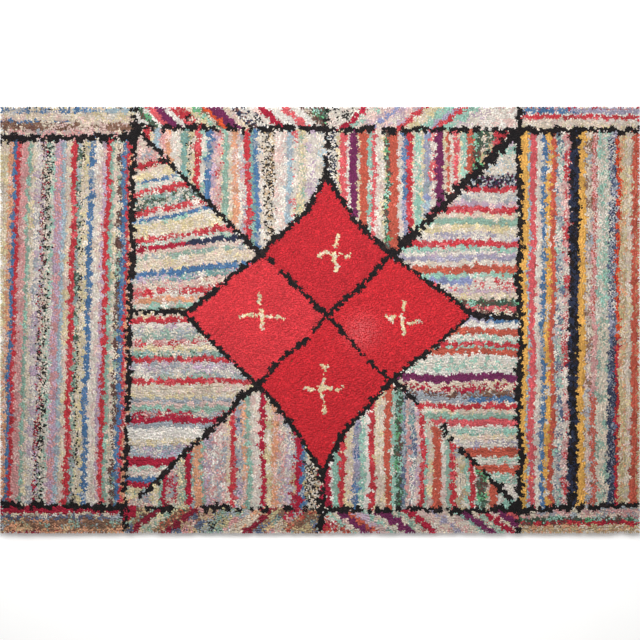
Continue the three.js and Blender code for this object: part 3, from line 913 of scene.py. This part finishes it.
def pile_piece(name, strands, material):
    """One bag's strands as one mesh: each is a soft lock with a thin root, a swelling and a blunt tip."""
    root, bulge, tip, turn, stretch, thickness, colour = strands
    count = len(root)
    round_it = np.arange(STRAND_SIDES) * 2 * math.pi / STRAND_SIDES
    long_way = (thickness * stretch)[:, None] * np.cos(round_it)
    short_way = thickness[:, None] * np.sin(round_it)
    ring = np.repeat(bulge[:, None], STRAND_SIDES, axis=1)
    ring[..., 0] += long_way * np.cos(turn)[:, None] - short_way * np.sin(turn)[:, None]
    ring[..., 1] += long_way * np.sin(turn)[:, None] + short_way * np.cos(turn)[:, None]
    ring[..., 0] = np.clip(ring[..., 0], -HALF_WIDTH, HALF_WIDTH)
    ring[..., 1] = np.clip(ring[..., 1], -HALF_DEPTH, HALF_DEPTH)
    points = np.concatenate([root[:, None], ring, tip[:, None]], axis=1)
    each = STRAND_SIDES + 2
    here = np.arange(1, STRAND_SIDES + 1)
    after = np.roll(here, -1)
    lower = np.stack([np.zeros_like(here), after, here], axis=1)
    upper = np.stack([here, after, np.full_like(here, each - 1)], axis=1)
    pattern = np.concatenate([lower, upper])
    faces = (np.arange(count)[:, None, None] * each + pattern[None]).reshape(-1, 3)
    # painted shade and highlight: roots and swellings darker, tips lighter
    shade = np.array([PAINTED_ROOT_SHADE] + [PAINTED_RING_SHADE] * STRAND_SIDES + [PAINTED_TIP_HIGHLIGHT])
    colours = (colour[:, None] * shade[None, :, None]).reshape(-1, 3)
    places = grid_cells((count, strand_cell()))
    return make_piece(name, points.reshape(-1, 3), [faces], colours, places, material)


def root_piece(name, beds, material):
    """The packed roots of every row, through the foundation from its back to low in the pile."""
    points, quads, caps, colours = [], [], [], []
    sides = len(ROOT_SECTION)
    ring = np.arange(sides)
    inner = SIDE - ROOT_SETBACK
    for path, width, proud, yarns in beds:
        runs = np.gradient(path, axis=0)
        runs /= np.linalg.norm(runs, axis=1, keepdims=True)
        middles = np.clip(np.stack(hooked_at(*path.T), axis=1), -inner, inner)
        base = len(points) * sides
        count = len(path)
        lots = [MIXED_YARNS.get(yarn, [yarn]) for yarn in yarns]
        for i in range(count):
            beside = np.array([runs[i, 1], -runs[i, 0]])
            flat = np.clip(middles[i] + ROOT_SECTION[:, :1] * width * beside, -SIDE, SIDE)
            rise = RANDOM.uniform(0, ROOT_UNEVEN)
            points.append(np.column_stack([flat, ROOT_SECTION[:, 1] + proud + rise]))
            lot = lots[0] if i < count / 2 else lots[1]
            colours.append(YARN_COLOURS[lot[RANDOM.integers(len(lot))]])
        for i in range(count - 1):
            here = base + i * sides + ring
            after = np.roll(here, -1)
            quads.append(np.stack([here, after, after + sides, here + sides], axis=1))
        caps.append(base + ring[::-1])
        caps.append(base + (count - 1) * sides + ring)
    points = np.concatenate(points)
    quads = np.concatenate(quads)
    caps = np.array(caps)
    # painted shade: the beds that show between the strands are darker than their yarn
    colours = np.repeat(np.array(colours) * PAINTED_BED_SHADE, sides, axis=0)
    turns = 2 * math.pi * ring / sides
    margin = 0.1
    low, high = margin, 1 - margin
    square = np.array([(low, low), (high, low), (high, high), (low, high)])
    polygon = 0.5 + (0.5 - margin) * np.stack([np.cos(turns), np.sin(turns)], axis=1)
    places = grid_cells((len(quads), square), (len(caps), polygon))
    return make_piece(name, points, [quads, caps], colours, places, material)


def add_node(tree, kind, inputs=None, **settings):
    """Adds a node with its settings, and links or sets its inputs."""
    node = tree.nodes.new(kind)
    for name, value in settings.items():
        setattr(node, name, value)
    for name, value in (inputs or {}).items():
        if isinstance(value, bpy.types.NodeSocket):
            tree.links.new(value, node.inputs[name])
        else:
            node.inputs[name].default_value = value
    return node


def new_material(name):
    """An empty material with its node tree and output."""
    material = bpy.data.materials.new(name)
    material.use_nodes = True
    tree = material.node_tree
    tree.nodes.clear()
    return material, tree, add_node(tree, "ShaderNodeOutputMaterial")


def clipped_wool():
    """Wool rags, hooked and clipped: matt ends with a soft bloom, each a little uneven in its dye."""
    material, tree, output = new_material("clipped_wool_rags")
    fibre_clump = 1.1 * MM  # single fibres are too fine to show, so they are drawn as clumps
    place = add_node(tree, "ShaderNodeTexCoord").outputs["Object"]
    dye = add_node(tree, "ShaderNodeAttribute", attribute_name="dye").outputs["Color"]
    fuzz = add_node(
        tree, "ShaderNodeTexNoise",
        {"Vector": place, "Scale": 1 / fibre_clump, "Detail": 3.0, "Roughness": 0.65},
    ).outputs["Fac"]
    dye_depth = add_node(
        tree, "ShaderNodeMapRange",
        {"Value": fuzz, "From Min": 0.25, "From Max": 0.75, "To Min": 0.84, "To Max": 1.16},
    ).outputs["Result"]
    colour = add_node(
        tree, "ShaderNodeVectorMath", {"Vector": dye, "Scale": dye_depth}, operation="SCALE",
    ).outputs["Vector"]
    roughness = add_node(
        tree, "ShaderNodeMapRange",
        {"Value": fuzz, "From Min": 0.25, "From Max": 0.75, "To Min": 0.86, "To Max": 0.98},
    ).outputs["Result"]
    nap = add_node(
        tree, "ShaderNodeBump", {"Height": fuzz, "Strength": 0.35, "Distance": 0.5 * MM},
    ).outputs["Normal"]
    shader = add_node(
        tree, "ShaderNodeBsdfPrincipled",
        {
            "Base Color": colour, "Roughness": roughness, "Normal": nap, "IOR": 1.54,
            "Specular IOR Level": 0.15, "Sheen Weight": 0.08, "Sheen Roughness": 0.5,
        },
    )
    tree.links.new(shader.outputs["BSDF"], output.inputs["Surface"])
    return material


def jute_burlap():
    """Jute burlap, plain woven: dull tan threads, thick and thin, over and under one another."""
    material, tree, output = new_material("jute_burlap")
    thread_pitch = 2.4 * MM
    slub_length = 9 * MM
    wave_scale = math.pi / (10 * thread_pitch)  # the bands of a wave texture lie pi / 10 apart at scale 1
    place = add_node(tree, "ShaderNodeTexCoord").outputs["Object"]
    bands = []
    for direction in ("X", "Y"):
        bands.append(add_node(
            tree, "ShaderNodeTexWave",
            {"Vector": place, "Scale": wave_scale, "Distortion": 1.2, "Detail": 1.0, "Detail Scale": 2.0},
            wave_type="BANDS", bands_direction=direction,
        ).outputs["Fac"])
    weave = add_node(
        tree, "ShaderNodeMath", {0: bands[0], 1: bands[1]}, operation="MAXIMUM",
    ).outputs["Value"]
    slub = add_node(
        tree, "ShaderNodeTexNoise", {"Vector": place, "Scale": 1 / slub_length, "Detail": 2.0},
    ).outputs["Fac"]
    depth = add_node(
        tree, "ShaderNodeMath", {0: weave, 1: slub}, operation="MULTIPLY",
    ).outputs["Value"]
    colours = add_node(tree, "ShaderNodeValToRGB", {"Fac": depth})
    for stop, code in zip(colours.color_ramp.elements, ("#6E5334", "#C0A06E")):
        stop.color = (*linear(code), 1)
    colours.color_ramp.elements[1].position = 0.6
    threads = add_node(
        tree, "ShaderNodeBump", {"Height": weave, "Strength": 0.8, "Distance": 0.6 * MM},
    ).outputs["Normal"]
    shader = add_node(
        tree, "ShaderNodeBsdfPrincipled",
        {
            "Base Color": colours.outputs["Color"], "Normal": threads, "Roughness": 0.9, "IOR": 1.53,
            "Specular IOR Level": 0.25,
        },
    )
    tree.links.new(shader.outputs["BSDF"], output.inputs["Surface"])
    return material


def opal_acrylic():
    """Opal acrylic of a studio floor: matt white, faintly cloudy, and lit a little from below."""
    material, tree, output = new_material("opal_acrylic_floor")
    cloud_size = 60 * MM
    place = add_node(tree, "ShaderNodeTexCoord").outputs["Object"]
    cloud = add_node(
        tree, "ShaderNodeTexNoise", {"Vector": place, "Scale": 1 / cloud_size, "Detail": 2.0},
    ).outputs["Fac"]
    tone = add_node(tree, "ShaderNodeValToRGB", {"Fac": cloud})
    for stop, code in zip(tone.color_ramp.elements, ("#FBFAF9", "#FEFEFD")):
        stop.color = (*linear(code), 1)
    shader = add_node(
        tree, "ShaderNodeBsdfPrincipled",
        {
            "Base Color": tone.outputs["Color"], "Roughness": 0.85, "Specular IOR Level": 0.2,
            "Emission Color": tone.outputs["Color"], "Emission Strength": 0.16,
        },
    )
    tree.links.new(shader.outputs["BSDF"], output.inputs["Surface"])
    return material


def foundation_piece(name, material):
    """The burlap that the rags are hooked through, one closed cloth with its hem turned under."""
    edges = []
    for half, inner in zip(SIDE - CLOTH_SETBACK, CLOTH_GRID):
        middle = np.linspace(-half + HEM + FOLD, half - HEM - FOLD, inner)
        edges.append(np.concatenate([[-half, -half + HEM], middle, [half - HEM, half]]))
    x, y = np.meshgrid(edges[0], edges[1], indexing="ij")
    half_x, half_y = SIDE - CLOTH_SETBACK
    hemmed = (np.abs(x) >= half_x - HEM) | (np.abs(y) >= half_y - HEM)
    wave = CLOTH_WAVE * lump(x, y)
    top = np.stack([x, y, FOUNDATION_TOP + wave], axis=-1)
    back = np.stack([x, y, np.where(hemmed, HEM_BACK, FOUNDATION_BACK + wave)], axis=-1)
    wide, deep = x.shape
    number = np.arange(wide * deep).reshape(wide, deep)
    corners = [number[:-1, :-1], number[1:, :-1], number[1:, 1:], number[:-1, 1:]]
    quads = np.stack(corners, axis=-1).reshape(-1, 4)
    loop = np.concatenate([number[:-1, 0], number[-1, :-1], number[:0:-1, -1], number[0, :0:-1]])
    after = np.roll(loop, -1)
    under = wide * deep
    sides = np.stack([loop, loop + under, after + under, after], axis=1)
    faces = np.concatenate([quads, quads[:, ::-1] + under, sides])
    points = np.concatenate([top.reshape(-1, 3), back.reshape(-1, 3)])
    return make_piece(name, points, [faces], None, None, material)


pile = hook_rug()
strands, yarn = clip_strands(pile)
wool = clipped_wool()
pile_pieces = [root_piece("pile_roots", pile.beds, wool)]
for bag, dyes in YARNS.items():
    chosen = np.isin(yarn, [YARN_NAMES.index(name) for name in dyes])
    pile_pieces.append(pile_piece(f"pile_{bag}", [values[chosen] for values in strands], wool))
foundation = foundation_piece("foundation", jute_burlap())

for piece in [foundation, *pile_pieces]:
    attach(piece, "root")
    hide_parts("rug")

# Floor, light and camera
FLOOR_SIZE = 8
FLOOR_DROP = 0.3 * MM  # so that the floor and the underside don't share a plane
SKY_STRENGTH = 0.31
bpy.ops.mesh.primitive_plane_add(size=FLOOR_SIZE, location=(0, 0, -FLOOR_DROP))
floor = bpy.context.object
floor.name = "floor"
floor.data.materials.append(opal_acrylic())

scene = bpy.context.scene
scene.view_settings.view_transform = "Standard"
world = bpy.data.worlds.new("studio")
world.use_nodes = True
sky = world.node_tree.nodes["Background"]
sky.inputs["Color"].default_value = (1, 1, 1, 1)
sky.inputs["Strength"].default_value = SKY_STRENGTH
scene.world = world


def soft_box(name, place, size, power):
    """A large soft light that faces the middle of the rug."""
    lamp = bpy.data.lights.new(name, "AREA")
    lamp.shape = "RECTANGLE"
    lamp.size, lamp.size_y = size
    lamp.energy = power
    light = bpy.data.objects.new(name, lamp)
    light.location = place
    light.visible_camera = False
    light.rotation_euler = light.location.to_track_quat("Z", "Y").to_euler()
    bpy.context.collection.objects.link(light)


soft_box("strip_light", place=(0.015, 0.2, 0.75), size=(0.9, 0.4), power=9.0)
soft_box("key_light", place=(-0.9, 1.2, 1.1), size=(0.8, 0.8), power=8)

LENS, SENSOR = 85, 36
FRAMED_HEIGHT = PILE_TOP - 1  # height at which the rug's length fills the frame
camera_data = bpy.data.cameras.new("camera")
camera_data.lens = LENS
camera_data.sensor_width = SENSOR
camera = bpy.data.objects.new("camera", camera_data)
camera.location = (0, 0, (FRAMED_HEIGHT + HALF_WIDTH * 2 * LENS / SENSOR) * MM)
bpy.context.collection.objects.link(camera)
scene.camera = camera
